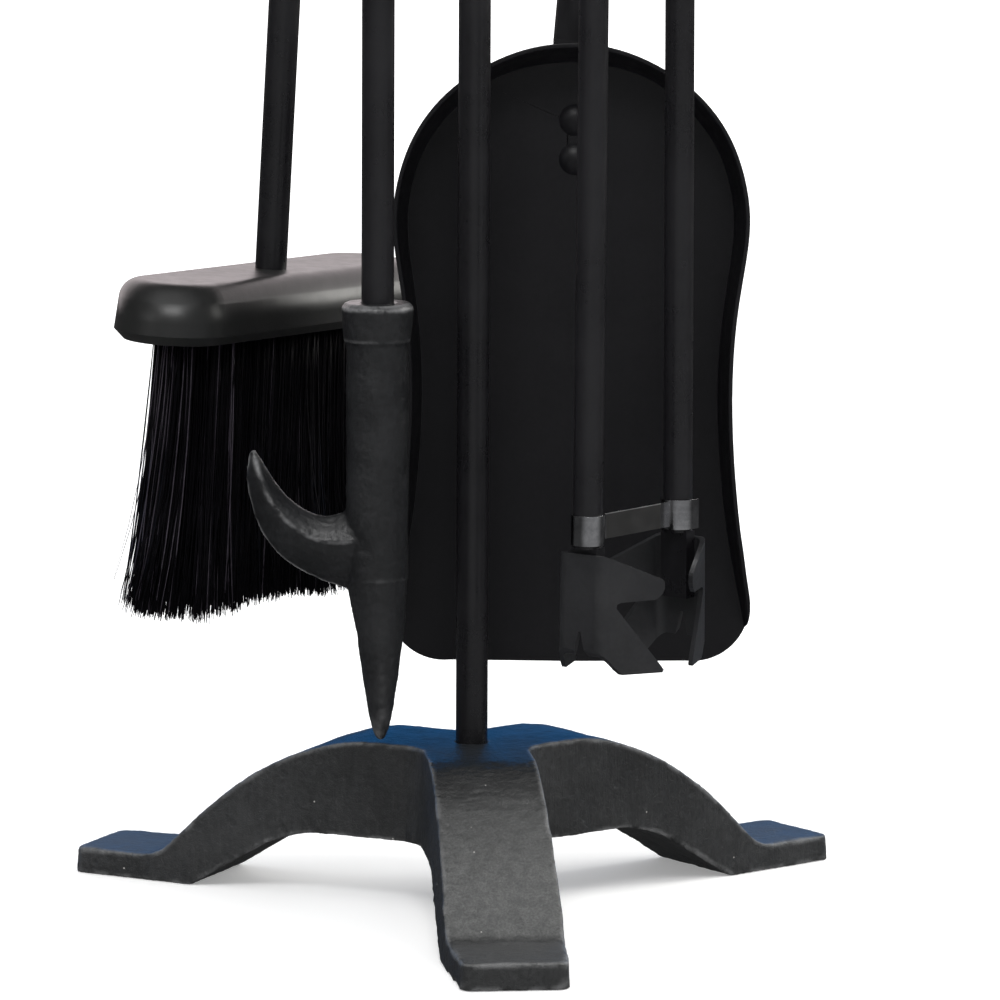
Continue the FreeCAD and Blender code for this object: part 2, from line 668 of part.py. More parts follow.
# ================================================================ shovel
sh = seat(VAL["shovel_seat"], AZ["shovel"])
sh_top = FreeCAD.Placement(sh, FreeCAD.Rotation())
tool_eye("shovel_eye", sh_top, AZ["shovel"] - 90.0)
tool_handle("shovel_handle", sh_top)
FACE = P(sh.x, sh.y, 0, VAL["face_turn"])
pb, ps = VAL["pan_back"], VAL["pan_sheet"]
po = VAL["pan_offset"]

CREASE = [(0.0, 261.4), (13.0, 260.0), (26.0, 255.3), (37.5, 246.0), (46.0, 234.5), (50.3, 222.5),
          (51.7, 211.0), (50.8, 199.0), (49.0, 186.0), (47.5, 171.0), (47.0, 154.5), (47.7, 138.0),
          (49.1, 122.5), (51.2, 107.5), (54.0, 93.0), (56.5, 80.0), (58.0, 66.0)]
RIM = [(0.0, 268.9), (14.0, 267.1), (28.0, 261.3), (40.5, 252.0), (50.0, 238.8), (54.6, 225.5),
       (56.1, 213.5), (55.0, 200.5), (52.9, 187.0), (51.4, 171.0), (51.1, 154.5), (51.8, 138.0),
       (53.2, 122.5), (55.4, 107.5), (58.2, 93.0), (60.6, 80.0), (62.0, 66.0)]


def outline(pts, y, grow=0.0):
    """Symmetric arched outline closed by a straight run at its foot."""
    full = [(-x, z) for x, z in reversed(pts[1:])] + list(pts)
    out = []
    n = len(full)
    for i, (x, z) in enumerate(full):
        a = full[max(i - 1, 0)]
        b = full[min(i + 1, n - 1)]
        tx, tz = b[0] - a[0], b[1] - a[1]
        m = math.hypot(tx, tz)
        out.append(V(x - grow * tz / m + po, y, z + grow * tx / m))
    bs = Part.BSplineCurve()
    bs.interpolate(out)
    return Part.Wire([bs.toShape(), Part.LineSegment(out[-1], out[0]).toShape()])


def pan_shape():
    front = pb - VAL["pan_depth"]
    outer_ = Part.makeLoft([outline(CREASE, pb, ps), outline(RIM, front, 0.0)], True, True)
    over = 1.0 / (VAL["pan_depth"] - ps)
    past = [(r[0] + (r[0] - c[0]) * over, r[1] + (r[1] - c[1]) * over) for c, r in zip(CREASE, RIM)]
    inner_ = Part.makeLoft([outline(CREASE, pb - ps, 0.0), outline(past, front - 1.0, -ps)],
                           True, True)
    pan = outer_.cut(inner_)
    # the rim runs out towards the lip
    f = pb - ps - 0.02
    side = [V(-90, -40, 40), V(-90, f, 40), V(-90, f, 75), V(-90, -9, 82), V(-90, -16, 93),
            V(-90, -20.5, 108), V(-90, front - 0.1, 128), V(-90, -40, 128)]
    cutter = Part.Face(Part.makePolygon(side + [side[0]])).extrude(V(180, 0, 0))
    pan = pan.cut(cutter)
    # straight lip with rounded corners
    lip = VAL["pan_lip"]
    w, r = 57.6, 17.0
    pts = [V(po - w, 20, 300), V(po - w, 20, lip + r + 3)]
    e = [Part.LineSegment(pts[0], pts[1]).toShape(),
         Part.Arc(pts[1], V(po - w + 0.33 * r, 20, lip + 0.30 * r), V(po - w + r + 3, 20, lip + 0.3)).toShape(),
         Part.LineSegment(V(po - w + r + 3, 20, lip + 0.3), V(po, 20, lip)).toShape(),
         Part.LineSegment(V(po, 20, lip), V(po + w - r - 3, 20, lip + 0.3)).toShape(),
         Part.Arc(V(po + w - r - 3, 20, lip + 0.3), V(po + w - 0.33 * r, 20, lip + 0.30 * r),
                  V(po + w, 20, lip + r + 3)).toShape(),
         Part.LineSegment(V(po + w, 20, lip + r + 3), V(po + w, 20, 300)).toShape(),
         Part.LineSegment(V(po + w, 20, 300), pts[0]).toShape()]
    keep = Part.Face(Part.Wire(e)).extrude(V(0, -60, 0))
    pan = pan.common(keep)
    for z in (VAL["rivet_upper"], VAL["rivet_lower"]):
        pan = pan.cut(Part.makeCylinder(2.2, 40, V(0, 10, z), V(0, -1, 0)))
    return pan


node(raw("shovel_pan", pan_shape(), FACE), "shovel_pan")


def shovel_rod_shape():
    r = VAL["rod_diameter"] / 2
    top = sh.z - ROD_TOP
    rod = Part.makeCylinder(r, top - 292.0, V(0, 0, 292.0))
    n = 24
    def ringpts(fn, z):
        vs = [V(*fn(2 * math.pi * i / n), z) for i in range(n)]
        return Part.makePolygon(vs + [vs[0]])
    def circ(a):
        return (r * math.cos(a), r * math.sin(a))
    def flat_(a):
        c, s = math.cos(a), math.sin(a)
        p = 4.0
        k = (abs(c / 7.0) ** p + abs(s / 2.0) ** p) ** (-1.0 / p)
        return (k * c, k * s)
    neck = Part.makeLoft([ringpts(circ, 292.0), ringpts(flat_, 268.0)], True, False)
    tongue = Part.makeBox(14.0, 4.0, 50.0, V(-7.0, -2.0, 218.5))
    tongue = tongue.makeFillet(3.0, [e for e in tongue.Edges
                                     if abs(e.Vertexes[0].Point.z - 218.5) < 0.01
                                     and abs(e.Vertexes[-1].Point.z - 218.5) < 0.01
                                     and abs(e.Vertexes[0].Point.y - e.Vertexes[-1].Point.y) > 1])
    whole = rod.fuse([neck, tongue])
    for z in (VAL["rivet_upper"], VAL["rivet_lower"]):
        whole = whole.cut(Part.makeCylinder(2.2, 40, V(0, 10, z), V(0, -1, 0)))
    return whole


node(raw("shovel_rod", shovel_rod_shape(), FACE), "shovel_rod")


def dome(radius, height, z, y, sign):
    """Domed rivet head sitting on the plane at y, bulging towards sign*Y."""
    big = (radius * radius + height * height) / (2 * height)
    s = Part.makeSphere(big, V(0, y - sign * (big - height), z))
    half = Part.makeBox(40, 40, 40, V(-20, y if sign > 0 else y - 40, z - 20))
    return s.common(half)


rivs = []
for z in (VAL["rivet_upper"], VAL["rivet_lower"]):
    y_front = pb - ps
    shank_ = Part.makeCylinder(2.2, 2.0 - y_front, V(0, 2.0, z), V(0, -1, 0))
    r_ = shank_.fuse([dome(VAL["rivet_radius"], 2.4, z, y_front, -1.0), dome(4.2, 1.8, z, 2.0, 1.0)])
    rivs.append(r_)
node(raw("shovel_rivets", Part.makeCompound(rivs), FACE), "shovel_rivets")

# ================================================================ tongs
tg = seat(VAL["tongs_seat"], AZ["tongs"])
tg_top = FreeCAD.Placement(tg, FreeCAD.Rotation())
tool_eye("tongs_eye", tg_top, AZ["tongs"] + 90.0)
tool_handle("tongs_handle", tg_top)
TG = P(tg.x, tg.y, 0, AZ["tongs"] + 90.0)      # local X runs from the left arm to the right one
PL = VAL["pivot_level"]
stem = cylinder("tongs_stem", S("rod_diameter") / 2, q(tg.z - ROD_TOP - (PL - 4.0)),
                TG.multiply(P(0, 0, PL - 4.0)))
node(stem, "tongs_stem")
yk_plate = box("yoke_plate", S("pivot_half") * 2 + 14, q(4.0), q(16.0),
               P(-(VAL["pivot_half"] + 7.0), 2.3, PL - 8.0))
yk_boss = cylinder("yoke_boss", q(8.0), q(20.0), P(0, 0, PL - 10.0))
yk = fuse("yoke_blank", [yk_plate, yk_boss])
yk_bore = cylinder("yoke_bore", S("rod_diameter") / 2, q(20.0), P(0, 0, PL - 4.0))
yk_holes = [cylinder("yoke_hole_%d" % i, S("pin_diameter") / 2, q(10.0),
                     FreeCAD.Placement(V(sx * VAL["pivot_half"], 9.0, PL), FreeCAD.Rotation(V(1, 0, 0), 90)))
            for i, sx in enumerate((-1, 1))]
yk_tools = fuse("yoke_tools", [yk_bore] + yk_holes)
yoke = cut("tongs_yoke", yk, yk_tools)
yoke.Placement = TG
node(yoke, "tongs_yoke")

# Pivot pins: shank through the yoke and the arm's eye, with a head each side.
pins = []
for sx in (-1, 1):
    x = sx * VAL["pivot_half"]
    pr_ = VAL["pin_diameter"] / 2
    p_ = Part.makeCylinder(pr_, 8.9, V(x, 6.3, PL), V(0, -1, 0))
    p_ = p_.fuse([Part.makeCylinder(3.6, 1.6, V(x, 7.9, PL), V(0, -1, 0)),
                  Part.makeCylinder(3.6, 1.6, V(x, -2.6, PL), V(0, -1, 0))])
    pins.append(p_)
node(raw("tongs_pivot_pins", Part.makeCompound(pins), TG), "tongs_pivot_pins")


def arm_shape():
    """Arm hanging from its pivot; local origin on the pivot axis.  Flattened
    round eye at the top, flat tongue inside the jaw at the bottom."""
    r = VAL["arm_diameter"] / 2
    top_rod, low_rod = -14.0, VAL["jaw_top"] + 1.5 - PL
    rod = Part.makeCylinder(r, top_rod - low_rod, V(0, 0, low_rod))
    eye = Part.makeCylinder(6.0, 4.0, V(0, 2.0, 0), V(0, -1, 0))
    web = Part.makeBox(2 * r, 4.0, 16.0, V(-r, -2.0, -16.0))
    tongue = Part.makeBox(4.2, 10.0, 21.0, V(-2.1, -5.0, low_rod - 20.5))
    whole = rod.fuse([eye, web, tongue])
    whole = whole.cut(Part.makeCylinder(VAL["pin_diameter"] / 2 + 0.05, 10, V(0, 5, 0), V(0, -1, 0)))
    return whole.removeSplitter()


def jaw_shape():
    """Pressed jaw rolled from one sheet: a channel with flared sides, each cut
    to a tooth and a longer finger; local origin on the pivot axis."""
    t = VAL["jaw_sheet"]
    jh = VAL["jaw_half"]
    rb = VAL["jaw_bend"]
    zt_ = VAL["jaw_top"] - PL
    x0 = -2.1 - t
    phi = math.radians(VAL["jaw_flare"])
    turn = math.pi / 2 - phi
    # plan of the channel, outer skin, from one free edge to the other
    def skin(off):
        r = rb - off
        cx, cy = x0 + rb, jh - rb * math.tan(turn / 2)
        pts = []
        for s in (-1, 1):
            arc = []
            for i in range(3):
                a = math.pi - turn * i / 2
                arc.append((cx + r * math.cos(a), s * (cy + r * math.sin(a))))
            a = math.pi - turn
            ex, ey = arc[2]
            run = 26.0
            tip = (ex + run * math.cos(phi), ey + s * run * math.sin(phi))
            pts.append((arc, tip))
        return pts
    (la, lt), (ra, rt) = skin(0.0)
    (lb, lu), (rb_, ru) = skin(t)
    def line(p, q_):
        return Part.LineSegment(V(p[0], p[1], 0), V(q_[0], q_[1], 0)).toShape()
    def arc3(p, m_, q_):
        return Part.Arc(V(p[0], p[1], 0), V(m_[0], m_[1], 0), V(q_[0], q_[1], 0)).toShape()
    plan = Part.Wire([line(lt, la[2]), arc3(la[2], la[1], la[0]), line(la[0], ra[0]),
                      arc3(ra[0], ra[1], ra[2]), line(ra[2], rt), line(rt, ru), line(ru, rb_[2]),
                      arc3(rb_[2], rb_[1], rb_[0]), line(rb_[0], lb[0]), arc3(lb[0], lb[1], lb[2]),
                      line(lb[2], lu), line(lu, lt)])
    channel = Part.Face(plan).extrude(V(0, 0, -60))
    channel.translate(V(0, 0, zt_ + 5.0))
    c = math.cos(phi)
    wing = [(-4.0, 3.0), (-4.0, 0.0), (1.2, 0.0), (20.6, -8.0), (21.3, -8.8), (21.4, -11.0),
            (20.6, -12.6), (18.5, -14.2), (6.6, -14.5), (5.2, -15.0), (5.0, -16.2), (14.4, -27.5),
            (19.4, -33.4), (21.4, -36.0), (20.9, -36.8), (7.4, -36.8), (5.6, -35.4), (1.8, -31.4),
            (-1.0, -28.6), (-4.0, -27.2)]
    face = [V(x0 + w * c, -40.0, zt_ + z) for w, z in wing[1:]]
    keep = Part.Face(Part.makePolygon(face + [face[0]])).extrude(V(0, 80.0, 0))
    jaw = channel.common(keep)
    vee = [V(-20, -7.0, zt_ - 50.0), V(-20, 7.0, zt_ - 50.0), V(-20, 0.4, zt_ - 24.0), V(-20, -0.4, zt_ - 24.0)]
    notch = Part.Face(Part.makePolygon(vee + [vee[0]])).extrude(V(20.0 + x0 + t + 1.2, 0, 0))
    return jaw.cut(notch).removeSplitter()


splay = VAL["arm_splay"]
ph = VAL["pivot_half"]
LEFT = TG.multiply(FreeCAD.Placement(V(-ph, 0, PL), FreeCAD.Rotation(V(0, 1, 0), splay)))
RIGHT = TG.multiply(FreeCAD.Placement(V(ph, 0, PL), FreeCAD.Rotation(V(0, 1, 0), -splay)))
RIGHT_TURNED = RIGHT.multiply(P(0, 0, 0, 180.0))
node(raw("tongs_arm_left", arm_shape(), LEFT), "tongs_arm_left")
node(raw("tongs_arm_right", arm_shape(), RIGHT), "tongs_arm_right")
node(raw("tongs_jaw_left", jaw_shape(), LEFT), "tongs_jaw_left")
node(raw("tongs_jaw_right", jaw_shape(), RIGHT_TURNED), "tongs_jaw_right")


def clip_shape():
    """Plated strap: a sleeve round the left arm, a flat strip, and an open
    cradle that the right arm springs out of."""
    zb, zt_ = VAL["clip_bottom"], VAL["clip_top"]
    h_ = zt_ - zb
    r = VAL["arm_diameter"] / 2
    w = VAL["clip_wall"]
    zm = (zb + zt_) / 2
    dx = (PL - zm) * math.tan(math.radians(splay))
    xl, xr = -(ph + dx), ph + dx
    rl = r + 0.02
    sleeve = Part.makeCylinder(rl + w, h_, V(xl, 0, zb))
    rin = r + 0.35
    u_out = Part.makeCylinder(rin + w, h_, V(xr, 0, zb)).fuse(
        Part.makeBox(3.4, 2 * (rin + w), h_, V(xr, -(rin + w), zb)))
    u_in = Part.makeCylinder(rin, h_ + 2, V(xr, 0, zb - 1)).fuse(
        Part.makeBox(20, 2 * rin, h_ + 2, V(xr, -rin, zb - 1)))
    u_out = u_out.common(Part.makeBox(40, 40, 40, V(xr - 30, -20, zb - 10)).fuse(
        Part.makeBox(3.4, 40, 40, V(xr, -20, zb - 10))))
    strip = Part.makeBox(xr - xl, 1.6, h_ - 1.4, V(xl, -0.8, zb + 0.9))
    whole = sleeve.fuse([u_out, strip]).cut(u_in)
    tilt = Part.makeCylinder(rl, 60, V(0, 0, -30))
    tilt.Placement = FreeCAD.Placement(V(xl, 0, zm), FreeCAD.Rotation(V(0, 1, 0), splay))
    return whole.cut(tilt)


node(raw("tongs_clip", clip_shape(), TG), "tongs_clip")

# ---------------------------------------------------------------- checks and export
doc.recompute()
bad = []
for o in doc.Objects:
    st = list(getattr(o, "State", []))
    if "Invalid" in st or "Error" in st:
        bad.append("%s (%s): %s" % (o.Name, o.Label, st))
for name, o in NODES:
    s = o.Shape
    if s.isNull() or not s.isValid() or not s.Solids:
        bad.append("%s: null, invalid or empty shape" % name)
if bad:
    print("\n".join(bad))
    sys.exit(1)
box_all = FreeCAD.BoundBox()
for name, o in NODES:
    s = o.Shape
    s.exportStep("parts/%s.step" % name)
    bbx = s.optimalBoundingBox(False, True)
    box_all.add(bbx)
    print("%-22s solids %d  vol %9.1f  x %7.1f %7.1f  y %7.1f %7.1f  z %7.1f %7.1f" % (
        name, len(s.Solids), s.Volume, bbx.XMin, bbx.XMax, bbx.YMin, bbx.YMax, bbx.ZMin, bbx.ZMax))
print("nodes", len(NODES), "box x %.2f %.2f y %.2f %.2f z %.2f %.2f" % (
    box_all.XMin, box_all.XMax, box_all.YMin, box_all.YMax, box_all.ZMin, box_all.ZMax))
print("centre", (box_all.XMin + box_all.XMax) / 2, (box_all.YMin + box_all.YMax) / 2)
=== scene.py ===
import bpy
import math
import numpy as np
from mathutils import Vector, Matrix, noise


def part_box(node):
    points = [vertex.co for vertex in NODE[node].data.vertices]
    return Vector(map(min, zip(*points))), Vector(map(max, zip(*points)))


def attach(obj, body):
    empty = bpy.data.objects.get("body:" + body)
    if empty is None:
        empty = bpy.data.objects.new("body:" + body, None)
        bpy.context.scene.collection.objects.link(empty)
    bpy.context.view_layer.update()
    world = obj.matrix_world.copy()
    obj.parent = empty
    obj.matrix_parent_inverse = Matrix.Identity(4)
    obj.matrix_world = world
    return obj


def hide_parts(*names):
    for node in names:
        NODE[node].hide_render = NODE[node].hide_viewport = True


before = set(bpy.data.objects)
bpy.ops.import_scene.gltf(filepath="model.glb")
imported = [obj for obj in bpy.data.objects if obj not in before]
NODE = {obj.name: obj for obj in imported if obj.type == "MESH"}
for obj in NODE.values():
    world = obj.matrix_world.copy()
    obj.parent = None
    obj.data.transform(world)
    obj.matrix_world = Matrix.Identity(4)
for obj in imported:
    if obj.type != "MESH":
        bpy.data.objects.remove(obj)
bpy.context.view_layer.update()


scene = bpy.context.scene
scene.view_settings.view_transform = "Standard"
scene.view_settings.look = "None"
AXIS_Y = 0.01505


# ------------------------------------------------------------------ camera
cam_data = bpy.data.cameras.new("camera")
cam_data.sensor_width = 36.0
cam_data.lens = 237.67
cam_data.clip_start, cam_data.clip_end = 0.05, 60.0
cam = bpy.data.objects.new("camera", cam_data)
scene.collection.objects.link(cam)
roll = 0.005
r0 = Vector((0.994387, -0.105802, 0.0))
u0 = Vector((0.015591, 0.146534, 0.989083))
fwd = Vector((0.104647, 0.983531, -0.147361))
r1 = r0 * math.cos(roll) + u0 * math.sin(roll)
u1 = u0 * math.cos(roll) - r0 * math.sin(roll)
cam.matrix_world = Matrix((
    (r1.x, u1.x, -fwd.x, -0.20749), (r1.y, u1.y, -fwd.y, -2.01580),
    (r1.z, u1.z, -fwd.z, 0.43130), (0, 0, 0, 1)))
scene.camera = cam


# ------------------------------------------------------------------ material kit
class Nodes:
    def __init__(self, tree):
        self.t = tree
        self.n = tree.nodes
        self.n.clear()

    def add(self, kind, **sockets):
        node = self.n.new(kind)
        for key, val in sockets.items():
            if key.startswith("_"):
                setattr(node, key[1:], val)
            else:
                self.set(node, key.replace("__", " "), val)
        return node

    def set(self, node, socket, val):
        s = node.inputs[socket] if not isinstance(socket, int) else node.inputs[socket]
        if isinstance(val, bpy.types.NodeSocket):
            self.t.links.new(val, s)
        else:
            s.default_value = val

    def math(self, op, a, b=0.5, clamp=False):
        m = self.n.new("ShaderNodeMath")
        m.operation = op
        m.use_clamp = clamp
        self.set(m, 0, a)
        self.set(m, 1, b)
        return m.outputs[0]

    def span(self, x, lo, hi, a=0.0, b=1.0):
        m = self.n.new("ShaderNodeMapRange")
        m.interpolation_type = "SMOOTHSTEP"
        for k, v in (("Value", x), ("From Min", lo), ("From Max", hi), ("To Min", a), ("To Max", b)):
            self.set(m, k, v)
        return m.outputs["Result"]

    def mix(self, f, a, b):
        m = self.n.new("ShaderNodeMix")
        m.data_type = "RGBA"
        for k, v in ((0, f), (6, a), (7, b)):
            s = m.inputs[k]
            if isinstance(v, bpy.types.NodeSocket):
                self.t.links.new(v, s)
            else:
                s.default_value = (*v, 1.0) if hasattr(v, "__len__") and len(v) == 3 else v
        return m.outputs[2]

    def noise(self, vec, scale, detail=4.0, rough=0.55, dist=0.0):
        t = self.n.new("ShaderNodeTexNoise")
        t.noise_dimensions = "3D"
        for k, v in (("Vector", vec), ("Scale", scale), ("Detail", detail), ("Roughness", rough), ("Distortion", dist)):
            self.set(t, k, v)
        return t.outputs["Fac"]

    def stretch(self, vec, sx, sy, sz):
        m = self.n.new("ShaderNodeMapping")
        m.inputs["Scale"].default_value = (sx, sy, sz)
        self.t.links.new(vec, m.inputs["Vector"])
        return m.outputs["Vector"]

    def specks(self, vec, scale, size, share):
        """Scattered small flecks: 1 inside a fleck."""
        v = self.n.new("ShaderNodeTexVoronoi")
        v.feature = "F1"
        self.set(v, "Vector", vec)
        self.set(v, "Scale", scale)
        near = self.span(v.outputs["Distance"], size, size * 0.45)
        sep = self.n.new("ShaderNodeSeparateColor")
        self.t.links.new(v.outputs["Color"], sep.inputs[0])
        pick = self.math("GREATER_THAN", sep.outputs[0], 1.0 - share)
        return self.math("MULTIPLY", near, pick)


def surface(name, dark, light, rough=(0.35, 0.45), grain=600.0, bump=0.1, bump_dist=0.0003,
            blotch=25.0, specular=0.5, metallic=0.0, coat=0.0, coat_rough=0.1, streak=None,
            dust=None, wear_and_painted_edge_highlight=None, scratch=None, aniso=0.0, extra=None):
    """A painted, cast, moulded or plated surface: colour, roughness and relief all vary."""
    m = bpy.data.materials.new(name)
    m.use_nodes = True
    k = Nodes(m.node_tree)
    out = k.add("ShaderNodeOutputMaterial")
    bs = k.add("ShaderNodeBsdfPrincipled")
    k.t.links.new(bs.outputs[0], out.inputs[0])
    co = k.add("ShaderNodeTexCoord").outputs["Object"]
    big = k.noise(co, blotch, 5.0, 0.6)
    fine = k.noise(co, grain, 6.0, 0.65)
    mid = k.noise(co, grain * 0.22, 5.0, 0.6, 0.4)
    tone = k.span(k.math("ADD", k.math("MULTIPLY", big, 0.6), k.math("MULTIPLY", fine, 0.4)), 0.36, 0.66)
    colour = k.mix(tone, dark, light)
    ro = k.span(k.math("ADD", k.math("MULTIPLY", big, 0.5), k.math("MULTIPLY", mid, 0.5)), 0.35, 0.65,
                rough[0], rough[1])
    height = k.math("ADD", k.math("MULTIPLY", fine, 0.45), mid)
    if streak:
        sv = k.stretch(co, *streak[0])
        st = k.noise(sv, 1.0, 4.0, 0.6)
        height = k.math("ADD", height, k.math("MULTIPLY", st, streak[1]))
        colour = k.mix(k.span(st, 0.45, 0.75, 0.0, streak[2]), colour, light)
        ro = k.math("ADD", ro, k.math("MULTIPLY", k.math("SUBTRACT", st, 0.5), streak[3]))
    if extra:
        colour, ro, height = extra(k, co, colour, ro, height, fine, mid, big)
    # Pale colour on convex edges: rubbed wear on the base casting, and on the poker head a painted edge highlight.
    if wear_and_painted_edge_highlight:
        at = k.add("ShaderNodeAttribute", _attribute_name="edge")
        w = k.math("MULTIPLY", k.span(at.outputs["Fac"], wear_and_painted_edge_highlight[1], wear_and_painted_edge_highlight[2]),
                   k.span(mid, 0.36, 0.62), True)
        colour = k.mix(k.math("MULTIPLY", w, wear_and_painted_edge_highlight[3]), colour, wear_and_painted_edge_highlight[0])
        ro = k.math("SUBTRACT", ro, k.math("MULTIPLY", w, 0.08))
    if scratch:
        sc = k.stretch(co, *scratch[0])
        s_ = k.noise(sc, 1.0, 2.0, 0.5, 0.3)
        line = k.math("MULTIPLY", k.span(k.math("ABSOLUTE", k.math("SUBTRACT", s_, 0.5)), 0.0, 0.006, 1.0, 0.0),
                      k.span(big, 0.52, 0.62))
        colour = k.mix(k.math("MULTIPLY", line, scratch[1]), colour, (0.16, 0.16, 0.165))
    if dust:
        d = k.specks(co, dust[0], dust[1], dust[2])
        colour = k.mix(k.math("MULTIPLY", d, dust[3]), colour, (0.5, 0.49, 0.47))
        ro = k.math("ADD", ro, k.math("MULTIPLY", d, 0.3), True)
    k.t.links.new(colour, bs.inputs["Base Color"])
    k.t.links.new(ro, bs.inputs["Roughness"])
    bp = k.add("ShaderNodeBump")
    bp.inputs["Strength"].default_value = bump
    bp.inputs["Distance"].default_value = bump_dist
    k.t.links.new(height, bp.inputs["Height"])
    k.t.links.new(bp.outputs[0], bs.inputs["Normal"])
    bs.inputs["Specular IOR Level"].default_value = specular
    bs.inputs["Metallic"].default_value = metallic
    bs.inputs["Coat Weight"].default_value = coat
    bs.inputs["Coat Roughness"].default_value = coat_rough
    bs.inputs["Anisotropic"].default_value = aniso
    return m


def dress(mat, *names):
    for n in names:
        o = NODE[n]
        o.data.materials.clear()
        o.data.materials.append(mat)


def grit_and_painted_light(k, co, colour, ro, height, fine, mid, big):
    """Sand grain and small pits as relief, a painted highlight on a casting's sloping faces and painted reflections on
    its flat top faces.
    """
    grain = k.noise(co, 1500.0, 3.0, 0.7)
    coarse = k.noise(co, 330.0, 4.0, 0.7, 0.6)
    pits = k.specks(co, 190.0, 0.34, 0.22)
    height = k.math("ADD", height, k.math("MULTIPLY", grain, 0.35))
    height = k.math("SUBTRACT", height, k.math("MULTIPLY", pits, 0.35))
    geo = k.add("ShaderNodeNewGeometry")
    sep = k.add("ShaderNodeSeparateXYZ")
    k.t.links.new(geo.outputs["Normal"], sep.inputs[0])
    slope = k.math("MULTIPLY", k.span(sep.outputs["Z"], 0.30, 0.62), k.span(sep.outputs["Z"], 0.97, 0.86))
    place = k.add("ShaderNodeSeparateXYZ")
    k.t.links.new(co, place.inputs[0])
    high = k.span(place.outputs["Z"], 0.020, 0.042)
    # Faces tilted part way up are mixed toward pale grey: a painted highlight for light from the top front, broken up
    # by coarse and grain noise and weaker on high faces.
    painted_slope_highlight = k.math("MULTIPLY", k.span(coarse, 0.34, 0.68, 0.55, 1.0), k.span(grain, 0.34, 0.66, 0.5, 1.0))
    painted_slope_highlight = k.math("MULTIPLY", painted_slope_highlight, slope)
    colour = k.mix(k.math("MULTIPLY", painted_slope_highlight, k.math("SUBTRACT", 0.92, k.math("MULTIPLY", high, 0.42))), colour,
                   (0.125, 0.127, 0.126))
    # Flat top faces low down, such as the pads, are lightened: a painted pale reflection.
    top = k.span(sep.outputs["Z"], 0.95, 0.985)
    low = k.math("MULTIPLY", top, k.math("SUBTRACT", 1.0, high))
    colour = k.mix(k.math("MULTIPLY", low, 0.45), colour, (0.085, 0.088, 0.090))
    # Flat top faces high up, such as the hub top, are darkened and tinted blue: a painted blue reflection.
    top = k.math("MULTIPLY", top, high)
    colour = k.mix(k.math("MULTIPLY", top, 0.55), colour, (0.006, 0.010, 0.014))
    return colour, k.math("SUBTRACT", ro, k.math("MULTIPLY", top, 0.10)), height


CAST = surface("cast_black", (0.014, 0.0145, 0.015), (0.031, 0.032, 0.033), (0.44, 0.56), 560.0, 1.0, 0.0006,
               22.0, 0.5, dust=(170.0, 0.062, 0.32, 0.75),
               streak=((650.0, 650.0, 60.0), 0.6, 0.3, 0.06),
               wear_and_painted_edge_highlight=((0.15, 0.152, 0.155), 0.08, 0.34, 0.55), extra=grit_and_painted_light)
# Poker head: its strong pale edge band is a painted highlight on the socket rims and hook edges.
HEAD = surface("cast_head", (0.0055, 0.0058, 0.0065), (0.0120, 0.0125, 0.014), (0.32, 0.46), 640.0, 0.8, 0.0004,
               40.0, 0.5, dust=(160.0, 0.06, 0.14, 0.6),
               wear_and_painted_edge_highlight=((0.22, 0.22, 0.225), 0.05, 0.30, 0.75))
ROD = surface("rod_black", (0.0048, 0.0046, 0.0056), (0.0085, 0.0082, 0.0098), (0.26, 0.36), 900.0, 0.12, 0.0002,
              30.0, 0.5, streak=((900.0, 900.0, 12.0), 0.6, 0.25, 0.10), dust=(90.0, 0.035, 0.10, 0.7))
PAN = surface("pan_black", (0.0040, 0.0038, 0.0050), (0.0070, 0.0067, 0.0084), (0.38, 0.50), 700.0, 0.16, 0.0002,
              14.0, 0.32, streak=((500.0, 500.0, 9.0), 0.35, 0.2, 0.05), dust=(60.0, 0.022, 0.25, 0.65))
JAW = surface("jaw_black", (0.0110, 0.0112, 0.0125), (0.0175, 0.0178, 0.0195), (0.30, 0.42), 800.0, 0.14, 0.0002,
              60.0, 0.5, dust=(120.0, 0.04, 0.12, 0.6))
GRIP = surface("grip_black", (0.0080, 0.0078, 0.0085), (0.0140, 0.0136, 0.0145), (0.30, 0.40), 800.0, 0.10, 0.0002,
               35.0, 0.5, dust=(90.0, 0.03, 0.10, 0.5))
foot_at = np.array([-0.0602, 0.0423 + AXIS_Y, 0.1957])
seat_at = np.array([0.0562 * math.cos(math.radians(135)), AXIS_Y + 0.0562 * math.sin(math.radians(135)),
                    0.570 + 0.0562 * math.tan(math.radians(30)) - 0.0028])
hang_axis = (seat_at - foot_at) / np.linalg.norm(seat_at - foot_at)


def shoulder(k, co, colour, ro, height, fine, mid, big):
    """The moulding's wall rolls over softly towards its top."""
    along = k.add("ShaderNodeVectorMath", _operation="DOT_PRODUCT")
    k.t.links.new(co, along.inputs[0])
    along.inputs[1].default_value = tuple(float(c) for c in hang_axis)
    rise = k.math("SUBTRACT", along.outputs["Value"], float(foot_at @ hang_axis) - 0.0120)
    rise = k.math("MINIMUM", k.math("MAXIMUM", rise, 0.0), 0.0120)
    past = k.math("MAXIMUM", k.math("SUBTRACT", rise, 0.0070), 0.0)
    roll_ = k.math("MULTIPLY", k.math("MULTIPLY", rise, rise), -46.3 / 0.00003)
    back = k.math("MULTIPLY", k.math("MULTIPLY", past, past), 111.3 / 0.00003)
    return colour, ro, k.math("ADD", height, k.math("ADD", roll_, back))


PLASTIC = surface("brush_plastic", (0.0075, 0.0078, 0.0078), (0.0120, 0.0122, 0.0118), (0.34, 0.41), 900.0, 1.0,
                  0.00003, 30.0, 0.5, dust=(110.0, 0.035, 0.10, 0.7), extra=shoulder)


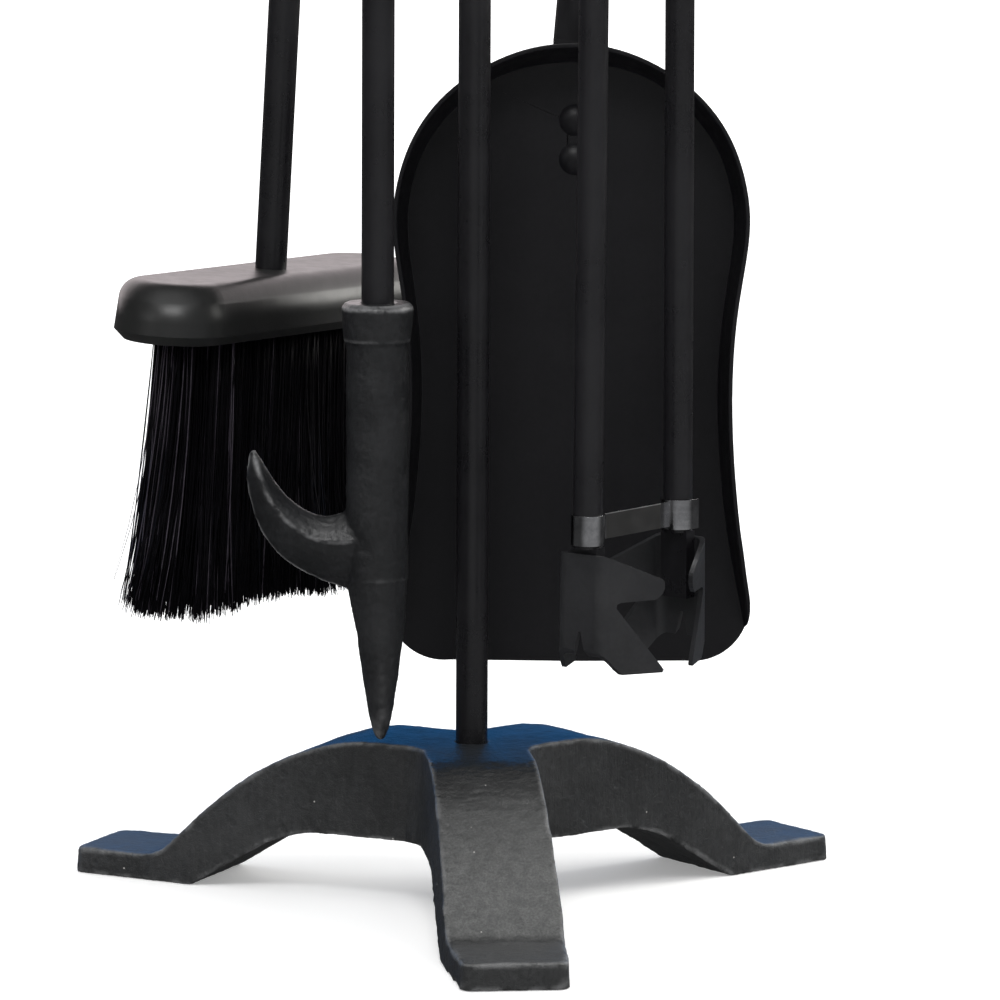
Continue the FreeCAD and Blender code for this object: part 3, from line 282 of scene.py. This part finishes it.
clip_v = np.array([v.co for v in NODE["tongs_clip"].data.vertices])
clip_mid = (clip_v.min(0) + clip_v.max(0)) / 2
clip_top = float(clip_v[:, 2].max())
clip_w, clip_axes = np.linalg.eigh(np.cov((clip_v - clip_mid).T))
clip_dir = clip_axes[:, 2]
clip_span = (clip_v - clip_mid) @ clip_dir
clip_half = float(clip_span.max() - clip_span.min()) / 2
clip_centre = float(clip_mid @ clip_dir + (clip_span.max() + clip_span.min()) / 2)


def strap(k, co, colour, ro, height, fine, mid, big):
    """The flat run between the clip's two sleeves: its upright faces get painted shade, darker metal standing in for
    dark reflections, while top-facing faces stay plated; a thin band at its top edge gets a near-white painted
    highlight.
    """
    sub = k.add("ShaderNodeVectorMath", _operation="DOT_PRODUCT")
    k.t.links.new(co, sub.inputs[0])
    sub.inputs[1].default_value = tuple(float(c) for c in clip_dir)
    off = k.math("ABSOLUTE", k.math("SUBTRACT", sub.outputs["Value"], clip_centre))
    # Upright faces between the sleeves take painted shade; the mask fades out on top-facing faces.
    painted_shade_face = k.span(off, clip_half * 0.53, clip_half * 0.50)
    geo = k.add("ShaderNodeNewGeometry")
    sep = k.add("ShaderNodeSeparateXYZ")
    k.t.links.new(geo.outputs["Normal"], sep.inputs[0])
    painted_shade_face = k.math("MULTIPLY", painted_shade_face, k.span(sep.outputs["Z"], 0.7, 0.3))
    place = k.add("ShaderNodeSeparateXYZ")
    k.t.links.new(co, place.inputs[0])
    # A thin band just under the strap's top edge is coloured near white: a painted highlight.
    painted_rim_highlight = k.span(place.outputs["Z"], clip_top - 0.0009, clip_top - 0.0006)
    face = k.mix(painted_rim_highlight, (0.20, 0.197, 0.193), (0.95, 0.95, 0.94))
    return k.mix(painted_shade_face, colour, face), k.math("ADD", ro, k.math("MULTIPLY", painted_shade_face, 0.22)), height


PLATED = surface("plated_steel", (0.36, 0.36, 0.37), (0.60, 0.60, 0.61), (0.10, 0.20), 500.0, 0.12, 0.0002,
                 80.0, 0.5, metallic=1.0, streak=((60.0, 60.0, 900.0), 0.5, 0.35, 0.06), extra=strap)
ZINC = surface("zinc_steel", (0.38, 0.38, 0.38), (0.56, 0.56, 0.55), (0.28, 0.42), 700.0, 0.15, 0.0002,
               80.0, 0.5, metallic=1.0)
# Purple-grey fibre colour given to a share of the strands: a painted highlight on lit fibres.
FIBRE_PAINTED_HIGHLIGHT = surface("bristle_grey_painted_highlight", (0.018, 0.014, 0.021), (0.050, 0.042, 0.056), (0.34, 0.44), 700.0, 0.02, 0.0001,
                     60.0, 0.5)
FIBRE = surface("bristle_black", (0.0016, 0.0014, 0.0022), (0.0034, 0.0029, 0.0045), (0.45, 0.58), 700.0, 0.02, 0.0001,
                60.0, 0.10)

dress(ROD, "stand_pole", "poker_rod", "brush_rod", "shovel_rod", "tongs_stem", "tongs_arm_left", "tongs_arm_right",
      "tongs_yoke", "hanger_pegs", "stand_finial", "poker_eye", "brush_eye", "shovel_eye", "tongs_eye")
dress(PAN, "shovel_pan", "shovel_rivets")
dress(JAW, "tongs_jaw_left", "tongs_jaw_right", "tongs_pivot_pins")
dress(GRIP, "poker_handle", "brush_handle", "shovel_handle", "tongs_handle")
dress(PLASTIC, "brush_head")
dress(PLATED, "tongs_clip")
dress(ZINC, "pole_foot_insert", "base_bolt", "base_washer")
dress(CAST, "base_casting", "hanger_casting")
dress(HEAD, "poker_head")
dress(FIBRE, "brush_bristles")


def ease(name, width, segments=3, angle=24.0):
    """Small rolled edges on a CAD node, made by modifiers."""
    o = NODE[name]
    o.data.polygons.foreach_set("use_smooth", [True] * len(o.data.polygons))
    w = o.modifiers.new("join", "WELD")
    w.merge_threshold = 0.00001
    b = o.modifiers.new("edge", "BEVEL")
    b.width = width
    b.segments = segments
    b.limit_method = "ANGLE"
    b.angle_limit = math.radians(angle)
    b.use_clamp_overlap = True
    b.harden_normals = False
    n = o.modifiers.new("shade", "WEIGHTED_NORMAL")
    n.keep_sharp = False
    n.weight = 80


for part_, width_ in (("shovel_pan", 0.0005), ("tongs_jaw_left", 0.0003), ("tongs_jaw_right", 0.0003),
                      ("tongs_clip", 0.00012), ("tongs_yoke", 0.0006)):
    ease(part_, width_)


# ------------------------------------------------------------------ castings
def remeshed(name, source, voxel):
    """A closed, even mesh of a CAD node's shape."""
    o = bpy.data.objects.new(name + "_work", NODE[source].data.copy())
    scene.collection.objects.link(o)
    r = o.modifiers.new("even", "REMESH")
    r.mode = "VOXEL"
    r.voxel_size = voxel
    bpy.context.view_layer.update()
    dg = bpy.context.evaluated_depsgraph_get()
    mesh = bpy.data.meshes.new_from_object(o.evaluated_get(dg))
    bpy.data.objects.remove(o)
    mesh.name = name
    out = bpy.data.objects.new(name, mesh)
    scene.collection.objects.link(out)
    mesh.materials.clear()
    mesh.polygons.foreach_set("use_smooth", [True] * len(mesh.polygons))
    return out


def verts(mesh):
    co = np.zeros(len(mesh.vertices) * 3)
    mesh.vertices.foreach_get("co", co)
    return co.reshape(-1, 3)


def normals(mesh):
    mesh.update()
    no = np.zeros(len(mesh.vertices) * 3)
    mesh.vertices.foreach_get("normal", no)
    return no.reshape(-1, 3)


def edges(mesh):
    e = np.zeros(len(mesh.edges) * 2, np.int64)
    mesh.edges.foreach_get("vertices", e)
    return e.reshape(-1, 2)


def relax(co, e, times, k=0.5, hold=False):
    n = len(co)
    deg = np.bincount(e.ravel(), minlength=n).astype(float)[:, None]
    for i in range(times):
        for step in ((k, -k - 0.03) if hold else (k,)):
            s = np.zeros_like(co)
            for a in range(3):
                s[:, a] = (np.bincount(e[:, 0], weights=co[e[:, 1], a], minlength=n)
                           + np.bincount(e[:, 1], weights=co[e[:, 0], a], minlength=n))
            co = co + step * (s / deg - co)
    return co


def put(mesh, co):
    mesh.vertices.foreach_set("co", co.astype(np.float32).ravel())
    mesh.update()


def field(co, scale, seed, octaves=3):
    off = Vector((seed * 7.31, seed * 3.77, seed * 1.93))
    out = np.empty(len(co))
    for i, p in enumerate(co):
        out[i] = noise.fractal(Vector(p) * scale + off, 0.7, 2.0, octaves, noise_basis="PERLIN_ORIGINAL")
    return out


def cast_skin(name, source, voxel, rounds, waves, body, mat, floor=None, reach=0.0009, lines=None):
    """Sand-cast skin over a CAD shape: softened edges, shallow lumps and fine sand grain."""
    o = remeshed(name, source, voxel)
    mesh = o.data
    e = edges(mesh)
    start = verts(mesh)
    co = relax(relax(start, e, rounds, 0.5, True), e, 1, 0.35)
    far = relax(co, e, 12)
    put(mesh, co)
    no = normals(mesh)
    edge = np.einsum("ij,ij->i", co - far, no) / reach
    edge = relax(np.repeat(edge[:, None], 3, 1), e, 2)[:, 0]
    lift = np.zeros(len(co))
    for scale, amount, seed in waves:
        lift += amount * field(co, scale, seed)
    if lines is not None:
        lift += lines(co, no)
    co = co + no * lift[:, None]
    if floor is not None:
        co[:, 2] = np.maximum(co[:, 2], floor)
    put(mesh, co)
    a = mesh.attributes.new("edge", "FLOAT", "POINT")
    a.data.foreach_set("value", np.clip(edge, -1, 1).astype(np.float32))
    mesh.materials.append(mat)
    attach(o, body)
    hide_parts(source)
    return o


def fettling(co, no):
    """Shallow upright file marks low on the legs' side walls."""
    upright = np.clip(1.0 - np.abs(no[:, 2]) * 2.2, 0, 1)
    r = np.hypot(co[:, 0], co[:, 1] - AXIS_Y)
    under = np.clip(1.0 - (r - 0.086) / 0.02, 0, 1)
    arch = 0.0202 - np.clip((r - 0.050) / 0.040, 0, 1) ** 1.4 * 0.0202
    band = np.clip(1.0 - (co[:, 2] - arch) / 0.011, 0, 1)
    along = np.arctan2(co[:, 1] - AXIS_Y, co[:, 0]) * 0.0
    n = np.array([noise.noise(Vector((p[0] * 520, p[1] * 520, p[2] * 28))) for p in co])
    return 0.00042 * n * upright * band * under + along


cast_base = cast_skin("cast_base", "base_casting", 0.00075, 5,
                      ((40.0, 0.00022, 1), (150.0, 0.00012, 2), (560.0, 0.00007, 3)),
                      "stand", CAST, floor=0.0, lines=fettling)
cast_head = cast_skin("cast_poker_head", "poker_head", 0.0005, 5,
                      ((70.0, 0.00022, 5), (240.0, 0.00012, 6), (700.0, 0.00006, 7)),
                      "poker", HEAD, reach=0.0007)


# ------------------------------------------------------------------ bristles
bristle_lo, bristle_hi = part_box("brush_bristles")
bb = np.array([v.co for v in NODE["brush_bristles"].data.vertices])
head_v = np.array([v.co for v in NODE["brush_head"].data.vertices])


def bristles():
    """Bundles of tapered fibres from the head's foot to a ragged hem."""
    rng = np.random.default_rng(7)
    foot = np.array([-0.0602, 0.0423 + AXIS_Y, 0.1957])
    seat = np.array([0.0562 * math.cos(math.radians(135)), AXIS_Y + 0.0562 * math.sin(math.radians(135)),
                     0.570 + 0.0562 * math.tan(math.radians(30)) - 0.0028])
    ez = seat - foot
    ez /= np.linalg.norm(ez)
    # the head's own long and short directions, from its rest mesh
    flat = head_v - head_v.mean(0)
    flat = flat - np.outer(flat @ ez, ez)
    w, vec = np.linalg.eigh(flat.T @ flat)
    ex = vec[:, 2]
    if ex[0] < 0:
        ex = -ex
    ex = ex - (ex @ ez) * ez
    ex /= np.linalg.norm(ex)
    ey = np.cross(ez, ex)
    top = -0.0189 + 0.004
    length = 0.086
    hl, hw = 0.1139 / 2, 0.025 / 2
    tufts = []
    pitch = 0.0046
    y = -hw + 0.002
    row = 0
    while y <= hw - 0.0015:
        x = -hl + 0.002 + (pitch / 2 if row % 2 else 0)
        while x <= hl - 0.002:
            a = hl - hw
            if math.hypot(max(abs(x) - a, 0), y) <= hw - 0.0014:
                tufts.append((x, y))
            x += pitch
        y += pitch * 0.82
        row += 1
    V, F, tint = [], [], []
    rings = 6

    def strand(x0, y0, x1, y1, ln, thick, bow):
        base = len(V)
        for i in range(rings):
            s = i / (rings - 1)
            px = x0 + (x1 - x0) * (0.12 * s + 0.88 * s ** 2.3) + bow[0] * math.sin(math.pi * s)
            py = y0 + (y1 - y0) * (0.12 * s + 0.88 * s ** 2.3) + bow[1] * math.sin(math.pi * s)
            pz = top - (ln + 0.004) * s
            r = thick * (1.0 - 0.2 * s * s) * (0.6 if i == rings - 1 else 1.0)
            for k in range(3):
                a = 2.0944 * k + x0 * 900
                q = foot + ex * (px + r * math.cos(a)) + ey * (py + r * math.sin(a)) + ez * pz
                V.append(q)
        for i in range(rings - 1):
            for k in range(3):
                b0, b1 = base + i * 3 + k, base + i * 3 + (k + 1) % 3
                F.append((b0, b1, b1 + 3, b0 + 3))
        F.append((base + 2, base + 1, base))
        e_ = base + (rings - 1) * 3
        F.append((e_, e_ + 1, e_ + 2))
        # Pale strands: a thin random share plus many more toward the head's left (-ex) end, a painted highlight on that
        # side of the bundle.
        pale_painted_highlight = 1 if rng.uniform() < 0.012 + 0.11 * max(0.0, -x0 / hl) else 0
        tint.extend([pale_painted_highlight] * ((rings - 1) * 3 + 2))

    for x, y_ in tufts:
        wob = np.array([noise.noise(Vector((x * 48, y_ * 60, 1.3))), noise.noise(Vector((x * 48, y_ * 60, 8.1)))])
        lump = np.array([noise.noise(Vector((x * 150, y_ * 150, 3.3))), noise.noise(Vector((x * 150, y_ * 150, 6.1)))])
        tip_c = np.array([x * 1.155, y_ * 1.33]) + wob * 0.0050 + lump * 0.0030
        cut_ = 0.0016 * noise.noise(Vector((x * 60, y_ * 60, 4.4)))
        for _ in range(34):
            a, r = rng.uniform(0, 2 * math.pi), math.sqrt(rng.uniform(0, 1))
            px, py = x + 0.0020 * r * math.cos(a), y_ + 0.0020 * r * math.sin(a)
            spread = rng.normal(0, 1, 2) * np.array([0.0019, 0.0017])
            if rng.uniform() < 0.06:
                spread *= 2.6
            ln = length + cut_ - abs(rng.normal(0, 0.0013)) - (0.007 * rng.uniform() if rng.uniform() < 0.08 else 0)
            strand(px, py, tip_c[0] + (px - x) * 0.9 + spread[0], tip_c[1] + (py - y_) * 0.9 + spread[1],
                   ln, rng.uniform(0.00020, 0.00031), rng.normal(0, 0.0007, 2))
    # strays that stand out of the bundle at its ends and sides
    for _ in range(150):
        side = rng.integers(0, 4)
        if side < 2:
            s = -1 if side == 0 else 1
            x, y_ = s * rng.uniform(hl * 0.80, hl - 0.003), rng.uniform(-hw * 0.5, hw * 0.5)
            tx, ty = x + s * rng.uniform(0.008, 0.0200), y_ + rng.normal(0, 0.004)
        else:
            s = -1 if side == 2 else 1
            x, y_ = rng.uniform(-hl * 0.85, hl * 0.85), s * rng.uniform(hw * 0.4, hw - 0.003)
            tx, ty = x + rng.normal(0, 0.006), y_ + s * rng.uniform(0.005, 0.011)
        strand(x, y_, tx, ty, length - rng.uniform(0.0, 0.016), 0.00016, rng.normal(0, 0.0015, 2))
    mesh = bpy.data.meshes.new("bristle_bundle")
    mesh.from_pydata([tuple(v) for v in V], [], F)
    mesh.polygons.foreach_set("use_smooth", [True] * len(mesh.polygons))
    mesh.update()
    o = bpy.data.objects.new("bristle_bundle", mesh)
    scene.collection.objects.link(o)
    mesh.materials.append(FIBRE)
    mesh.materials.append(FIBRE_PAINTED_HIGHLIGHT)
    mesh.polygons.foreach_set("material_index", tint)
    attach(o, "brush")
    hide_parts("brush_bristles")
    return o


bristle_obj = bristles()


# ------------------------------------------------------------------ floor, light
def stage_plane(name, size, loc, rot, mat):
    me = bpy.data.meshes.new(name)
    hx, hy = size[0] / 2, size[1] / 2
    me.from_pydata([(-hx, -hy, 0), (hx, -hy, 0), (hx, hy, 0), (-hx, hy, 0)], [], [(0, 1, 2, 3)])
    o = bpy.data.objects.new(name, me)
    o.location = loc
    o.rotation_euler = rot
    me.materials.append(mat)
    scene.collection.objects.link(o)
    return o


fm = bpy.data.materials.new("floor_pale")
fm.use_nodes = True
kf = Nodes(fm.node_tree)
fo = kf.add("ShaderNodeOutputMaterial")
fb = kf.add("ShaderNodeBsdfPrincipled")
kf.t.links.new(fb.outputs[0], fo.inputs[0])
fc = kf.add("ShaderNodeTexCoord").outputs["Object"]
kf.t.links.new(kf.mix(kf.noise(fc, 3.0), (0.90, 0.90, 0.90), (0.92, 0.92, 0.92)), fb.inputs["Base Color"])
fb.inputs["Roughness"].default_value = 0.9
fb.inputs["Specular IOR Level"].default_value = 0.1
reach_ = kf.add("ShaderNodeVectorMath", _operation="LENGTH")
kf.t.links.new(fc, reach_.inputs[0])
glow = kf.math("ADD", kf.span(reach_.outputs["Value"], 0.12, 0.9, 0.26, 0.62),
               kf.span(reach_.outputs["Value"], 0.9, 3.0, 0.0, 0.5))
fb.inputs["Emission Color"].default_value = (1, 1, 1, 1)
kf.t.links.new(glow, fb.inputs["Emission Strength"])
floor = stage_plane("floor", (40, 40), (0, 0, -0.0002), (0, 0, 0), fm)
floor.visible_glossy = False


def card(name, size, loc, rot, colour, strength, one_side=False):
    """A reflector seen only in the gloss of the object."""
    m = bpy.data.materials.new(name + "_glow")
    m.use_nodes = True
    k = Nodes(m.node_tree)
    o_ = k.add("ShaderNodeOutputMaterial")
    em = k.add("ShaderNodeEmission")
    em.inputs["Color"].default_value = (*colour, 1)
    em.inputs["Strength"].default_value = strength
    if one_side:
        clear = k.add("ShaderNodeBsdfTransparent")
        geo = k.add("ShaderNodeNewGeometry")
        mx = k.add("ShaderNodeMixShader")
        k.t.links.new(geo.outputs["Backfacing"], mx.inputs[0])
        k.t.links.new(em.outputs[0], mx.inputs[1])
        k.t.links.new(clear.outputs[0], mx.inputs[2])
        k.t.links.new(mx.outputs[0], o_.inputs[0])
    else:
        k.t.links.new(em.outputs[0], o_.inputs[0])
    c = stage_plane(name, size, loc, rot, m)
    c.visible_camera = False
    c.visible_shadow = False
    c.visible_diffuse = False
    return c


card("card_blue", (1.7, 1.30), (0.10, 0.78, 0.150), (math.radians(180), 0, 0), (0.015, 0.30, 0.85), 1.00, True)
card("card_back", (2.4, 0.9), (0.1, 1.35, 0.80), (math.radians(90), 0, 0), (1.0, 0.90, 0.915), 2.0)


def area(name, loc, target, size, power, colour=(1, 1, 1)):
    d = bpy.data.lights.new(name, "AREA")
    d.shape = "RECTANGLE"
    d.size, d.size_y = size
    d.energy = power
    d.color = colour
    o = bpy.data.objects.new(name, d)
    o.location = loc
    o.rotation_euler = (Vector(target) - Vector(loc)).to_track_quat("-Z", "Y").to_euler()
    scene.collection.objects.link(o)
    o.visible_camera = False
    return o


area("overhead", (-0.1, -0.35, 1.75), (0, 0, 0.1), (1.7, 1.3), 8.0)
area("front_top", (-0.30, -1.30, 1.65), (-0.02, -0.02, 0.12), (0.9, 0.55), 15.5)
area("right", (1.20, 0.42, 0.82), (-0.03, 0.05, 0.20), (0.9, 0.6), 12.5, (1.0, 0.985, 0.94))
area("left", (-1.5, -1.0, 0.9), (0, 0, 0.15), (0.8, 0.9), 2.5)

world = bpy.data.worlds.new("studio")
scene.world = world
world.use_nodes = True
kw = Nodes(world.node_tree)
wo = kw.add("ShaderNodeOutputWorld")
path = kw.add("ShaderNodeLightPath")
direction = kw.add("ShaderNodeTexCoord").outputs["Generated"]
dot = kw.add("ShaderNodeVectorMath", _operation="DOT_PRODUCT")
kw.t.links.new(direction, dot.inputs[0])
az = math.radians(20.0)
fr = Vector((math.sin(az), -math.cos(az), -0.1)).normalized()
dot.inputs[1].default_value = tuple(fr)
front = kw.span(dot.outputs["Value"], 0.20, 0.92, 0.05, 0.29)
glossy_bg = kw.add("ShaderNodeBackground")
kw.t.links.new(front, glossy_bg.inputs["Strength"])
glossy_bg.inputs["Color"].default_value = (0.97, 0.98, 1.0, 1)
diffuse_bg = kw.add("ShaderNodeBackground", Strength=0.62)
diffuse_bg.inputs["Color"].default_value = (1, 1, 1, 1)
camera_bg = kw.add("ShaderNodeBackground", Strength=1.0)
camera_bg.inputs["Color"].default_value = (1, 1, 1, 1)
m1 = kw.add("ShaderNodeMixShader")
kw.t.links.new(path.outputs["Is Glossy Ray"], m1.inputs[0])
kw.t.links.new(diffuse_bg.outputs[0], m1.inputs[1])
kw.t.links.new(glossy_bg.outputs[0], m1.inputs[2])
m2 = kw.add("ShaderNodeMixShader")
kw.t.links.new(path.outputs["Is Camera Ray"], m2.inputs[0])
kw.t.links.new(m1.outputs[0], m2.inputs[1])
kw.t.links.new(camera_bg.outputs[0], m2.inputs[2])
kw.t.links.new(m2.outputs[0], wo.inputs[0])
